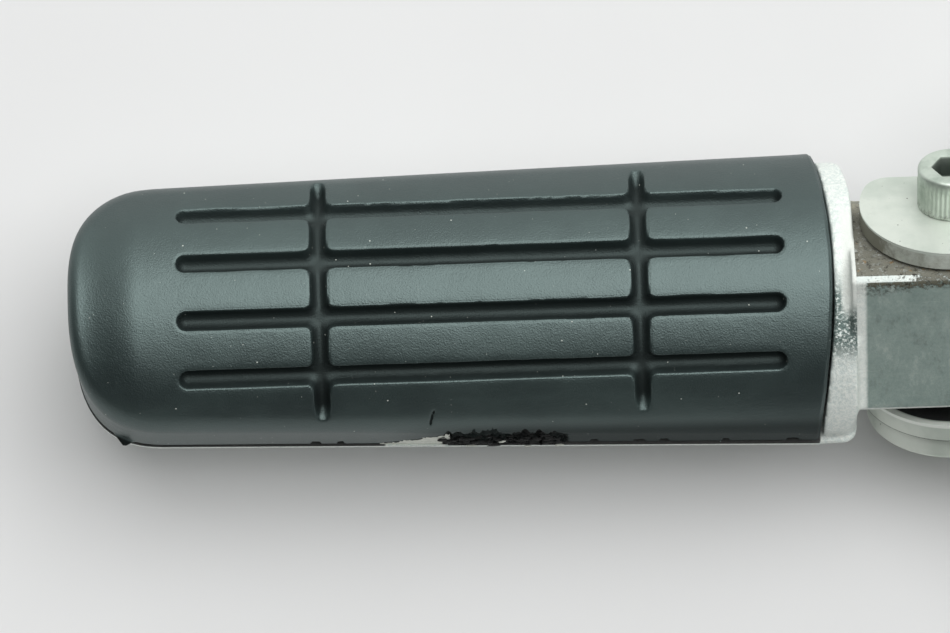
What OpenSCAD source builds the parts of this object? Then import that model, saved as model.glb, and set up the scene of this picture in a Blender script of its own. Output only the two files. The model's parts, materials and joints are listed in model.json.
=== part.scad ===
// Folding passenger peg and the fork bracket that carries it.
// The origin is the centre of the mounting face. +X points into that face, away from the peg,
// and +Z points up from the tread.

/* [Rubber pad] */
// Length of the rubber pad along its middle, from its nose to the collar
pad_l = 111; // [85:0.2:140]
// Width of the pad halfway along
pad_w = 39.4; // [36:0.2:40.6]
// Angle by which each side of the pad spreads towards the collar
pad_taper = 1.5; // [0:0.1:1.8]
// Height of the tread crown above the underside of the base plate
pad_h = 20; // [19.2:0.1:24]
// Rise of the tread crown over its edges at the collar
crown_rise = 12.6; // [9:0.1:13.4]
// Radius of the rounded shoulder between tread and side wall
shoulder_r = 1.8; // [1:0.1:4]
// Length over which the nose is rounded in plan
nose_l = 14; // [8:0.5:15.4]
// Fullness of the nose in plan, where 2 is an ellipse
nose_full = 2.75; // [2:0.05:3.5]
// Depth by which the tread steps down to the nose
nose_drop = 1.7; // [0:0.1:2.4]
// Depth by which the collar end of the pad curves back towards its sides
end_bow = 2.3; // [1:0.1:3.5]

/* [Tread grooves] */
// Width of the long grooves
groove_w = 2.9; // [1.5:0.1:4]
// Depth of all grooves
groove_d = 2.2; // [1:0.1:2.6]
// Spacing of the long grooves, as an angle round the crown
groove_pitch = 20.8; // [16:0.2:23]
// Distance from the nose to the start of the long grooves
groove_start = 15.9; // [13:0.1:22]
// Length of the long grooves
groove_l = 88; // [60:0.5:90]
// Width of the cross grooves
cross_w = 2.4; // [1.5:0.1:4]
// Distance from the nose to the first cross groove
cross_start = 36.5; // [28:0.5:42]
// Distance between the two cross grooves
cross_pitch = 46.4; // [30:0.2:54]
// Angle round the crown at which a cross groove ends on either side
cross_reach = 48; // [42:1:54]

/* [Peg core] */
// Thickness of the rim that shows below the pad
rim_t = 0.9; // [0.6:0.1:2]
// Half width of the spine at its foot
spine_w = 13.4; // [12.6:0.1:14]
// Height of the flat top of the spine
spine_h = 10.4; // [9.4:0.1:11]
// Distance from the nose to the start of the spine
spine_start = 13; // [11:0.5:15]
// Thickness of the collar behind the middle of the pad
collar_t = 3; // [2.4:0.1:8]
// Depth by which the tread stands above the collar
collar_step = 1.3; // [0.6:0.1:1.6]
// Radius of the rounded shoulder of the collar
collar_r = 2.4; // [1:0.1:3.4]
// Depth by which the base plate stands outside the sides of the collar
collar_ledge = 1.2; // [0.6:0.1:1.8]
// Radius of the upright back corners of the collar and the base plate
back_r = 2; // [1:0.1:2.6]
// Distance from the pivot axis to the face of the collar
neck = 14.5; // [14.2:0.1:20]
// Depth of the lightening pockets in the underside
pocket_d = 6.6; // [3:0.1:7]
// Width of one lightening pocket
pocket_w = 9; // [5:0.1:9.4]
// Thickness of the ribs round the lightening pockets
rib_t = 2.6; // [2:0.1:5]

/* [Tongue] */
// Height of the tongue along the pivot axis
tongue_h = 23.6; // [18:0.1:26]
// Distance from the pivot axis to the front face of the tongue
tongue_front = 14; // [11.5:0.1:14.4]
// Distance from the pivot axis to the back face of the tongue
tongue_back = 7.4; // [6.6:0.1:9]
// Chamfer along the edges of the tongue
tongue_cham = 0.9; // [0.3:0.1:1.6]
// Radius of the cast fillet between tongue and collar
root_r = 1.4; // [0.5:0.1:2.4]
// Height of the pivot axis above the underside of the base plate
pivot_z = 5.9; // [4:0.1:7.5]
// Tilt of the pivot axis from level
pivot_tilt = 47.2; // [40:0.2:55]

/* [Fork bracket] */
// Distance from the pivot axis to the mounting face
reach = 23; // [22.8:0.1:28]
// Thickness of the mounting flange
flange_t = 5; // [4:0.1:5.2]
// Thickness of each ear
ear_t = 2.7; // [2:0.1:4]
// Radius of the ears round the pivot axis
ear_r = 13.4; // [12:0.1:15]
// Radius of the back corner of the ears
ear_corner = 4; // [1:0.1:5]
// Distance from the pivot axis to the front edge of the ears where they meet the flange
ear_root = 11; // [9:0.1:12]
// Radius of the fillet between the outer side of each ear and the flange
ear_fillet = 2.2; // [1:0.1:3]
// Distance between the two mounting bolts
bolt_span = 50; // [48:0.5:66]
// Bore of the threaded mounting holes
bolt_d = 6.8; // [5:0.1:8.5]
// Radius of the flange round each bolt
lug_r = 9.5; // [8:0.1:12]
// Radius of the middle of the flange
boss_r = 21; // [20:0.1:24]

/* [Pivot] */
// Diameter of the pivot screw
screw_d = 6; // [5:0.1:6.4]
// Diameter of the screw head
head_d = 10; // [9:0.1:13]
// Height of the screw head
head_h = 6.4; // [4:0.1:8]
// Width across the flats of the hexagon socket
socket_af = 5; // [4:0.1:5.6]
// Depth of the hexagon socket
socket_d = 3.2; // [2:0.1:4]
// Outer diameter of the bush that the tongue turns on
bush_d = 10; // [8.6:0.1:11]
// Gap between the upper ear and the tongue
gap_top = 0.6; // [0.5:0.05:1.5]
// Gap between the tongue and the lower ear
gap_low = 3.1; // [2.6:0.05:4.5]
// Outer radius of the thrust washers
washer_r = 9; // [7:0.1:10.5]
// Thickness of the lower thrust washer
washer_t = 1; // [0.6:0.1:1.4]
// Sheet thickness of the wave washer
wave_t = 0.5; // [0.3:0.05:0.6]
// Radius of the round nut plate
nut_r = 12.6; // [10:0.1:13.4]
// Thickness of the nut plate
nut_t = 3.8; // [2.5:0.1:6]

/* [Pad fastening] */
// Diameter of the screws that hold the pad
pad_screw_d = 5; // [4:0.1:5.4]
// Distance from the nose to the first pad screw
pad_screw_start = 33; // [31:0.5:36]
// Distance between the two pad screws
pad_screw_pitch = 44; // [40:0.5:46]
// Width of the steel plate moulded into the pad
plate_w = 15; // [12:0.5:17]
// Thickness of the steel plate moulded into the pad
plate_t = 1.8; // [1.2:0.1:2.2]

/* [Fits] */
// Clearance of the tongue on the bush
run_fit = 0.05; // [0.02:0.01:0.09]
// Clearance between still pieces that meet
seat_fit = 0.05; // [0.03:0.01:0.1]
// Clearance between the pad and its core
pad_fit = 0.1; // [0.05:0.01:0.2]
// Clearance of a screw in its hole
hole_fit = 0.2; // [0.1:0.05:0.4]
// Gap between the pad's lower edge and the rim of the core
rim_gap = 0.3; // [0.2:0.05:0.5]

/* [Hidden] */
$fn = 96;
eps = 0.01;
bite = 0.6;
far = 60;

// Places along X
collar_x = -reach - neck;
pad_x = collar_x - collar_t;
nose_x = pad_x - pad_l;
pad_mid_x = pad_x - pad_l / 2;
end_half = pad_w / 2 + pad_l / 2 * tan(pad_taper);
end_r = (end_half * end_half + end_bow * end_bow) / (2 * end_bow);

// Heights above the underside of the base plate
pad_z = rim_t + rim_gap;
crown_r = (end_half * end_half + crown_rise * crown_rise) / (2 * crown_rise);
crown_z = pad_h - crown_r;
collar_crown_r = crown_r - collar_step;

// Heights along the pivot axis
tongue_top = tongue_h / 2;
ear_top = tongue_top + gap_top;
ear_low = -tongue_top - gap_low;
head_z = ear_top + ear_t;
nut_z = ear_low - ear_t;
screw_l = head_z - nut_z + nut_t - 1.2;

bush_r = bush_d / 2;
screw_r = screw_d / 2;
heel_x = reach - flange_t - seat_fit;

// Pad screws
pad_screw_r = pad_screw_d / 2;
pad_head_r = pad_screw_r * 1.7;
pad_head_h = 2.8;
pad_washer_r = pad_head_r + 0.6;
pad_washer_t = 1;
pad_recess = 1 + pad_head_h + pad_washer_t;
pad_screw_x = [for (i = [0, 1]) nose_x + pad_screw_start + i * pad_screw_pitch];
plate_z = spine_h + pad_fit;
plate_end = 9;

// Lightening pockets, each from one distance along X to the next, clear of the screw bosses
boss_half = pad_washer_r + hole_fit + rib_t;
pocket_ends = [
    [nose_x + spine_start + rib_t, pad_screw_x[0] - boss_half],
    [pad_screw_x[0] + boss_half, pad_screw_x[1] - boss_half],
    [pad_screw_x[1] + boss_half, pad_x - rib_t]
];

// Half width of the pad at x, with the rounded nose
function side_w(x) = pad_w / 2 + (x - pad_mid_x) * tan(pad_taper);
function nose_k(x) = min(1, max(0, (x - nose_x) / nose_l));
function half_w(x) = side_w(x) * pow(1 - pow(1 - nose_k(x), nose_full), 1 / nose_full);

// Points of an arc round a centre, from one angle to another
function arc(c, r, from, to, steps = 24) = [for (i = [0:steps])
    let (a = from + (to - from) * i / steps) c + r * [cos(a), sin(a)]];

// Smooth step from 0 to 1
function ease(t) = let (c = min(1, max(0, t))) c * c * (3 - 2 * c);

// Fall of the tread towards the nose, between two distances from it
function tread_drop(x) = nose_drop * (1 - ease((x - nose_x - nose_l * 0.4) / (nose_l * 0.5)));

// Height lost to a fillet of radius r at distance d inside the outline
function fillet_fall(d, r) = d >= r ? 0 : r - sqrt(max(0, r * r - (r - d) * (r - d)));

// Points of a round crown between two upright sides, from the left foot over the top
function crown_pts(w, inset, r, round_r, z_foot, z_mid, edge_k, drop, steps) = concat(
    [[-w, z_foot]],
    [for (i = [-steps:steps])
        let (
            y = w * sin(90 * i / steps),
            d = min((w - abs(y)) * edge_k, inset)
        )
        [y, z_mid + sqrt(r * r - y * y) - drop - fillet_fall(d, round_r)]],
    [[w, z_foot]]
);

// Points along the back of the collar, from one side to the other, with round corners
function back_pts(half) = concat(
    arc([collar_x - back_r, half - back_r], back_r, 90, 0, 10),
    arc([collar_x - back_r, back_r - half], back_r, 0, -90, 10)
);

// Outline of the base plate, set in from the side walls of the pad
function plan_pts(inset, steps = 18) = let (
    side = [for (i = [0:steps])
        let (x = nose_x + nose_l * (1 - cos(90 * i / steps)) )
        [x + inset * (1 - nose_k(x)), max(0, half_w(x) - inset * nose_k(x))]]
) concat(
    side,
    back_pts(side_w(collar_x - back_r) - inset),
    [for (i = [steps:-1:1]) [side[i][0], -side[i][1]]]
);

// Moves children from the base plate's underside to their height
module in_peg() {
    translate([0, 0, -pivot_z]) children();
}

// Turns children so that Z runs along the pivot axis, +Y towards the back of the tongue
module in_fork() {
    translate([-reach, 0, 0]) rotate([pivot_tilt - 90, 0, 0]) children();
}

// A slot with round ends, from the origin along +X
module stadium(l, w) {
    translate([w / 2, -w / 2]) square([l - w, w]);
    translate([w / 2, 0]) circle(d = w, $fn = 24);
    translate([l - w / 2, 0]) circle(d = w, $fn = 24);
}

// A rectangle with round corners, centred
module round_rect(l, w, r) {
    square([l - 2 * r, w], center = true);
    square([l, w - 2 * r], center = true);
    for (sx = [-1, 1], sy = [-1, 1])
        translate([sx * (l / 2 - r), sy * (w / 2 - r)]) circle(r = r, $fn = 24);
}

// The solid form of the pad before it is hollowed and grooved
module pad_form() {
    near = 0.03;
    nose_steps = 14;
    crown_steps = 14;
    xs = concat(
        [for (i = [0:nose_steps]) nose_x + near + (nose_l - near) * (1 - cos(90 * i / nose_steps))],
        [pad_x]
    );
    rings = [for (x = xs)
        let (
            w = half_w(x),
            slope = (half_w(x + near) - half_w(x - near)) / (2 * near),
            edge_k = 1 / sqrt(1 + slope * slope)
        )
        [for (p = crown_pts(w, x - nose_x, crown_r, shoulder_r, pad_z, crown_z, edge_k,
                tread_drop(x), crown_steps))
            [x, p[0], p[1]]]];
    m = len(rings[0]);
    n = len(rings);
    polyhedron(
        points = [for (ring = rings) each ring],
        faces = concat(
            [[for (j = [0:m - 1]) j]],
            [[for (j = [m - 1:-1:0]) (n - 1) * m + j]],
            [for (i = [0:n - 2], j = [0:m - 1])
                [i * m + j, (i + 1) * m + j, (i + 1) * m + (j + 1) % m]],
            [for (i = [0:n - 2], j = [0:m - 1])
                [i * m + j, (i + 1) * m + (j + 1) % m, i * m + (j + 1) % m]]
        )
    );
}

// Cutter for one long groove, at an angle round the crown
module long_groove(angle) {
    translate([nose_x + groove_start, 0, crown_z])
        rotate([-angle, 0, 0])
            translate([0, 0, crown_r - groove_d])
                linear_extrude(groove_d + 2) stadium(groove_l, groove_w);
}

// Cutter for one cross groove, a ring sector round the crown
module cross_groove(x) {
    translate([x - cross_w / 2, 0, crown_z])
        rotate([90, 0, 90])
            linear_extrude(cross_w) difference() {
                intersection() {
                    circle(r = crown_r + 2);
                    polygon([[0, 0], [far * sin(cross_reach), far * cos(cross_reach)], [0, far * 2],
                        [-far * sin(cross_reach), far * cos(cross_reach)]]);
                }
                circle(r = crown_r - groove_d);
            }
}

// Section of the spine, grown by a clearance, drawn with its height along Y
module spine_section(grow) {
    shoulder = 2.6;
    polygon([
        [-spine_w - grow, 0],
        [-spine_w + 1 - grow, spine_h - shoulder],
        [-spine_w + 1 + shoulder - grow / 2, spine_h + grow],
        [spine_w - 1 - shoulder + grow / 2, spine_h + grow],
        [spine_w - 1 + grow, spine_h - shoulder],
        [spine_w + grow, 0]
    ]);
}

// The spine from its start to the collar
module spine_form(grow) {
    translate([nose_x + spine_start - grow, 0, 0])
        rotate([90, 0, 90])
            linear_extrude(pad_l - spine_start + grow + bite) spine_section(grow);
}

// The steel plate, grown by a clearance
module plate_form(grow) {
    mid = (pad_screw_x[0] + pad_screw_x[1]) / 2;
    l = pad_screw_pitch + 2 * plate_end;
    translate([mid, 0, plate_z - grow])
        linear_extrude(plate_t + 2 * grow) round_rect(l + 2 * grow, plate_w + 2 * grow, 4);
}

// One pocket on each side of the middle rib
module pocket_pair(ends) {
    for (side = [-1, 1])
        translate([(ends[0] + ends[1]) / 2, side * (pocket_w + rib_t) / 2, -eps])
            linear_extrude(pocket_d) round_rect(ends[1] - ends[0], pocket_w, 2);
}

// Outline of the collar across the peg, drawn with its height along Y
module collar_section() {
    polygon(crown_pts(side_w(collar_x) - collar_ledge, crown_r, collar_crown_r, collar_r, 0, crown_z,
        1, 0, 14));
}

// Circle in plan that bounds the collar end of the pad, with a clearance taken off
module end_circle(gap) {
    translate([pad_x - end_r, 0]) circle(r = end_r - gap, $fn = 360);
}

// The collar: its outline across the peg and its outline in plan, crossed
module collar_form() {
    half = side_w(collar_x) - collar_ledge;
    intersection() {
        translate([pad_x - end_bow, 0, 0]) rotate([90, 0, 90])
            linear_extrude(collar_t + end_bow) collar_section();
        linear_extrude(far) difference() {
            polygon(concat([[pad_x - end_bow - 1, half]], back_pts(half),
                [[pad_x - end_bow - 1, -half]]));
            end_circle(0);
        }
    }
}

// The tongue: its outline from the side and its chamfered outline from the end, crossed
module tongue_form() {
    c = tongue_cham;
    intersection() {
        translate([0, 0, -tongue_top]) linear_extrude(tongue_h) polygon(concat(
            [[-neck - bite, tongue_back], [-neck - bite, -tongue_front]],
            arc([0, 0], tongue_front, -90, 0),
            [[heel_x, 0], [heel_x, tongue_back]]
        ));
        translate([-neck - 2 * bite, 0, 0]) rotate([90, 0, 90])
            linear_extrude(neck + heel_x + 3 * bite) polygon([
                [-tongue_front + c, -tongue_top], [tongue_back - c, -tongue_top],
                [tongue_back, -tongue_top + c], [tongue_back, tongue_top - c],
                [tongue_back - c, tongue_top], [-tongue_front + c, tongue_top],
                [-tongue_front, tongue_top - c], [-tongue_front, -tongue_top + c]
            ]);
    }
}

// A concave fillet of length l along Z, in the corner at the origin
module corner_fillet(l, r) {
    linear_extrude(l, center = true)
        polygon(concat([[-bite, r], [-bite, -bite], [r, -bite]], arc([r, r], r, -90, -180, 12)));
}

// Outline of an ear, looking along the pivot axis, with its back edge straight
module ear_outline() {
    inner = ear_r - ear_corner;
    cy = tongue_back - ear_corner;
    corner_at = 180 - asin(cy / inner);
    arm = reach - flange_t + bite;
    touch = -atan2(ear_root, arm) - acos(ear_r / norm([arm, ear_root]));
    polygon(concat(
        [[arm, tongue_back], [arm, -ear_root]],
        arc([0, 0], ear_r, touch, corner_at - 360, 48),
        arc(inner * [cos(corner_at), sin(corner_at)], ear_corner, corner_at, 90, 12)
    ));
}

// Outline of the mounting flange: a round boss between two lugs, joined by their tangents
module flange_outline() {
    d = bolt_span / 2;
    lean = asin((boss_r - lug_r) / d);
    polygon(concat(
        arc([d, 0], lug_r, lean - 90, 90 - lean, 36),
        arc([0, 0], boss_r, 90 - lean, 90 + lean, 24),
        arc([-d, 0], lug_r, 90 + lean, 270 - lean, 36),
        arc([0, 0], boss_r, 270 - lean, 270 + lean, 24)
    ));
}

// The fillet along the root of an ear, on the side that z points to
module ear_root_fillet(z, side) {
    l = ear_root + tongue_back - 2 * ear_fillet;
    translate([reach - flange_t, (tongue_back - ear_root) / 2, z])
        rotate([90, 0, 0]) mirror([1, 0, 0]) mirror([0, side < 0 ? 1 : 0, 0])
            corner_fillet(l, ear_fillet);
}

module bracket() {
    color("lightgray") difference() {
        union() {
            translate([-flange_t, 0, 0]) rotate([90, 0, 90])
                linear_extrude(flange_t) flange_outline();
            in_fork() {
                for (z = [ear_top, ear_low - ear_t])
                    translate([0, 0, z]) linear_extrude(ear_t) ear_outline();
                ear_root_fillet(head_z, 1);
                ear_root_fillet(nut_z, -1);
            }
        }
        in_fork() translate([0, 0, nut_z - eps])
            cylinder(r = screw_r + hole_fit, h = head_z - nut_z + 2 * eps);
        for (side = [-1, 1])
            translate([-flange_t - eps, side * bolt_span / 2, 0]) rotate([0, 90, 0])
                cylinder(d = bolt_d, h = flange_t + 2 * eps);
    }
}

module nut_plate() {
    color("gainsboro") in_fork() translate([0, 0, nut_z - nut_t]) difference() {
        rotate_extrude() polygon([[0, 0], [nut_r - 0.4, 0], [nut_r, 0.4], [nut_r, nut_t - 0.3],
            [nut_r - 0.3, nut_t], [0, nut_t]]);
        translate([0, 0, -eps]) cylinder(r = screw_r + seat_fit, h = nut_t + 2 * eps);
    }
}

module pivot_screw() {
    rim = 0.5;
    color("silver") in_fork() difference() {
        rotate_extrude() polygon([[0, head_z - screw_l], [screw_r - rim, head_z - screw_l],
            [screw_r, head_z - screw_l + rim], [screw_r, head_z],
            [head_d / 2, head_z], [head_d / 2, head_z + head_h - rim],
            [head_d / 2 - rim, head_z + head_h], [0, head_z + head_h]]);
        translate([0, 0, head_z + head_h - socket_d])
            cylinder(d = socket_af / cos(30), h = socket_d + eps, $fn = 6);
    }
}

module pivot_bush() {
    color("silver") in_fork() translate([0, 0, ear_low]) difference() {
        cylinder(r = bush_r, h = ear_top - ear_low);
        translate([0, 0, -eps])
            cylinder(r = screw_r + hole_fit / 2, h = ear_top - ear_low + 2 * eps);
    }
}

module thrust_ring(z, t) {
    in_fork() translate([0, 0, z]) difference() {
        cylinder(r = washer_r, h = t);
        translate([0, 0, -eps]) cylinder(r = bush_r + seat_fit * 2, h = t + 2 * eps);
    }
}

module upper_washer() {
    color("dimgray") thrust_ring(tongue_top + seat_fit, gap_top - 2 * seat_fit);
}

module lower_washer() {
    color("dimgray") thrust_ring(-tongue_top - seat_fit - washer_t, washer_t);
}

// A flat spring ring pressed into three waves
module wave_washer() {
    waves = 3;
    steps = 48;
    low = ear_low + seat_fit;
    high = -tongue_top - 2 * seat_fit - washer_t;
    mid = (low + high) / 2;
    swing = (high - low - wave_t) / 2;
    radii = [bush_r + 2 * seat_fit, washer_r - 0.6];
    corners = [[0, -1], [1, -1], [1, 1], [0, 1]];
    color("gray") in_fork() polyhedron(
        points = [for (i = [0:steps - 1], k = corners)
            let (a = 360 * i / steps)
            [radii[k[0]] * cos(a), radii[k[0]] * sin(a), mid + swing * cos(waves * a) + k[1] * wave_t / 2]],
        faces = [for (i = [0:steps - 1], j = [0:3], half = [0, 1])
            let (
                a = i * 4 + j,
                b = i * 4 + (j + 1) % 4,
                c = ((i + 1) % steps) * 4 + (j + 1) % 4,
                d = ((i + 1) % steps) * 4 + j
            )
            half == 0 ? [a, b, c] : [a, c, d]]
    );
}

module peg_core() {
    color("gainsboro") difference() {
        union() {
            in_peg() {
                linear_extrude(rim_t) polygon(plan_pts(pad_fit));
                spine_form(0);
                collar_form();
            }
            in_fork() tongue_form();
            intersection() {
                in_fork() translate([-neck, -tongue_front, 0]) mirror([0, 1, 0])
                    corner_fillet(tongue_h - 2 * tongue_cham, root_r);
                in_peg() translate([pad_x, 0, 0]) rotate([90, 0, 90])
                    linear_extrude(collar_t + root_r) collar_section();
            }
        }
        in_fork() translate([0, 0, -tongue_top - eps])
            cylinder(r = bush_r + run_fit, h = tongue_h + 2 * eps);
        in_peg() {
            for (ends = pocket_ends) pocket_pair(ends);
            for (x = pad_screw_x) {
                translate([x, 0, -eps]) cylinder(r = pad_washer_r + hole_fit, h = pad_recess + eps);
                translate([x, 0, -eps]) cylinder(r = pad_screw_r + hole_fit, h = spine_h + 1);
            }
        }
    }
}

module peg_rubber() {
    color("#3a4242") in_peg() difference() {
        pad_form();
        linear_extrude(far) difference() {
            translate([pad_x - end_bow - 1, -far / 2]) square([end_bow + 2, far]);
            end_circle(seat_fit);
        }
        spine_form(pad_fit);
        plate_form(seat_fit);
        for (x = pad_screw_x)
            translate([x, 0, 0]) cylinder(r = pad_screw_r + hole_fit, h = plate_z + plate_t + 1);
        for (i = [-1.5:1.5]) long_groove(i * groove_pitch);
        for (i = [0, 1]) cross_groove(nose_x + cross_start + i * cross_pitch);
    }
}

module pad_plate() {
    color("slategray") in_peg() difference() {
        plate_form(0);
        for (x = pad_screw_x)
            translate([x, 0, 0]) cylinder(r = pad_screw_r + seat_fit, h = far);
    }
}

module pad_screws() {
    color("silver") in_peg() for (x = pad_screw_x) translate([x, 0, 1]) difference() {
        union() {
            cylinder(r = pad_head_r, h = pad_head_h);
            cylinder(r = pad_screw_r, h = plate_z + plate_t - 0.4);
        }
        translate([0, 0, -eps]) cylinder(d = pad_screw_d * 0.9, h = 1.8, $fn = 6);
    }
}

module pad_washers() {
    color("silver") in_peg() for (x = pad_screw_x) translate([x, 0, 1 + pad_head_h]) difference() {
        cylinder(r = pad_washer_r, h = pad_washer_t - seat_fit);
        translate([0, 0, -eps]) cylinder(r = pad_screw_r + hole_fit, h = pad_washer_t + 2 * eps);
    }
}

bracket();
nut_plate();
pivot_screw();
pivot_bush();
upper_washer();
lower_washer();
wave_washer();
peg_core();
peg_rubber();
pad_plate();
pad_screws();
pad_washers();
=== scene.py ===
# Dresses the folding passenger peg and its fork bracket, and sets up floor, lamps and camera.
import json
import math

import bmesh
import bpy
import numpy as np
from mathutils import Matrix, Vector, noise


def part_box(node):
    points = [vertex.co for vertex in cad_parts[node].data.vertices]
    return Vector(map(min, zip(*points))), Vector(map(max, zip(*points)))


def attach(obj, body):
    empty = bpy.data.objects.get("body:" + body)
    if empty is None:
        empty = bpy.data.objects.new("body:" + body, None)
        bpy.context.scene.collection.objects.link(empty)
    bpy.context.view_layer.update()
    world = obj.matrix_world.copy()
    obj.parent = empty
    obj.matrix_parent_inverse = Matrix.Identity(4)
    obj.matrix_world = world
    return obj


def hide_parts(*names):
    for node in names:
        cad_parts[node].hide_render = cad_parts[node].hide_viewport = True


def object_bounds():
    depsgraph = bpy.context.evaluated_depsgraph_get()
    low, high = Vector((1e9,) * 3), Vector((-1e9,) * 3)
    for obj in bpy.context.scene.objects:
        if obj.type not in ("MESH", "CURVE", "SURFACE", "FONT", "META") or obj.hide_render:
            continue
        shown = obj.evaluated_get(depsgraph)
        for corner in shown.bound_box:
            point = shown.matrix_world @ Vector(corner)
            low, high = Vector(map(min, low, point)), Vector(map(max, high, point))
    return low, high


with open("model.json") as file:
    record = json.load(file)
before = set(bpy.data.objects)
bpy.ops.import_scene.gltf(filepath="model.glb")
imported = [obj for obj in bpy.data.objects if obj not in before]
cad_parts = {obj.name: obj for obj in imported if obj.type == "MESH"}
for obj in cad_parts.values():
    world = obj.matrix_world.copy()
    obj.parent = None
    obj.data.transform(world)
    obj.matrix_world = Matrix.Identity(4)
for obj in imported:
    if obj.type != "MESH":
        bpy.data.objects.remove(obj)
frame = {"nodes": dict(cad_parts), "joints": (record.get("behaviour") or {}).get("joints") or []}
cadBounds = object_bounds()
scene = bpy.context.scene
mm = 0.001


def inMillimetres(place):
    return np.array(place, float) / mm


# Places that the frame gives, in millimetres
padLow, padHigh = (inMillimetres(corner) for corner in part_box("peg_rubber"))
noseX, padEndX, footZ = padLow[0], padHigh[0], padLow[2]
hinge = frame["joints"][0]
pivot = inMillimetres(hinge["pos_m"])
pivotAxis = np.array(hinge["axis"], float)
backward = np.array([0.0, pivotAxis[2], -pivotAxis[1]])
forward = np.array([1.0, 0.0, 0.0])


# A point given along the peg, towards its back and up the pivot axis, in the row frame
def inFork(along, back, up):
    return pivot + np.multiply.outer(along, forward) + np.multiply.outer(back, backward) + np.multiply.outer(up, pivotAxis)


def ease(value):
    held = np.clip(value, 0.0, 1.0)
    return held * held * (3.0 - 2.0 * held)


# Smooth noise between about -1 and 1 at many points at once, with features of a given size
def ripple(points, size, seed=0.0):
    offset = Vector((seed * 7.13, seed * 3.71, seed * 5.37))
    flat = np.asarray(points, float).reshape(-1, 3) / size
    values = [noise.noise(Vector(place) + offset) for place in flat]
    return np.array(values).reshape(np.asarray(points).shape[:-1])


# Positions from start to end that are coarse, but fine inside each zone (from, to, step)
def packedLines(start, end, coarse, zones):
    lines, at = [start], start
    while at < end - 1e-6:
        step = coarse
        for low, high, fine in zones:
            if low - 1e-6 <= at < high - 1e-6:
                step = min(step, fine)
            elif at < low:
                step = min(step, max(fine, low - at))
        at = min(end, at + step)
        lines.append(at)
    return np.array(lines)


# A mesh object from vertices in millimetres
def meshObject(name, vertices, faces, smooth=True):
    mesh = bpy.data.meshes.new(name)
    mesh.from_pydata((np.asarray(vertices, float) * mm).tolist(), [], faces)
    mesh.validate()
    mesh.update()
    made = bpy.data.objects.new(name, mesh)
    scene.collection.objects.link(made)
    if smooth:
        mesh.polygons.foreach_set("use_smooth", [True] * len(mesh.polygons))
    return made


# A closed tube through rings of points, rings x points x 3, with both ends capped
def loftObject(name, rings):
    count, points = rings.shape[:2]
    faces = []
    for i in range(count - 1):
        for j in range(points):
            k = (j + 1) % points
            faces.append((i * points + j, i * points + k, (i + 1) * points + k, (i + 1) * points + j))
    faces.append(tuple(range(points))[::-1])
    faces.append(tuple((count - 1) * points + j for j in range(points)))
    made = meshObject(name, rings.reshape(-1, 3), faces)
    tidyNormals(made)
    return made


def tidyNormals(piece):
    work = bmesh.new()
    work.from_mesh(piece.data)
    bmesh.ops.recalc_face_normals(work, faces=work.faces)
    work.to_mesh(piece.data)
    work.free()


def pointValues(piece, name, values):
    attribute = piece.data.attributes.new(name, "FLOAT", "POINT")
    attribute.data.foreach_set("value", np.asarray(values, np.float32).ravel())


# ---- materials ----
class Wire:
    # One socket with the arithmetic that the materials use
    def __init__(self, look, socket):
        self.look = look
        self.socket = socket

    def maths(self, operation, *others):
        inputs = {i: value for i, value in enumerate((self,) + others)}
        return self.look.add("ShaderNodeMath", {"operation": operation}, inputs)

    def __add__(self, other):
        return self.maths("ADD", other)

    def __sub__(self, other):
        return self.maths("SUBTRACT", other)

    def __mul__(self, other):
        return self.maths("MULTIPLY", other)

    def __rsub__(self, other):
        return self.look.add("ShaderNodeMath", {"operation": "SUBTRACT"}, {0: other, 1: self})

    __radd__ = __add__
    __rmul__ = __mul__

    def larger(self, other):
        return self.maths("MAXIMUM", other)

    def smaller(self, other):
        return self.maths("MINIMUM", other)

    # 0 below low and 1 above high, smooth between
    def rise(self, low, high):
        values = {"Value": self, "From Min": low, "From Max": high, "To Min": 0.0, "To Max": 1.0}
        return self.look.add("ShaderNodeMapRange", {"interpolation_type": "SMOOTHSTEP"}, values)


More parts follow.
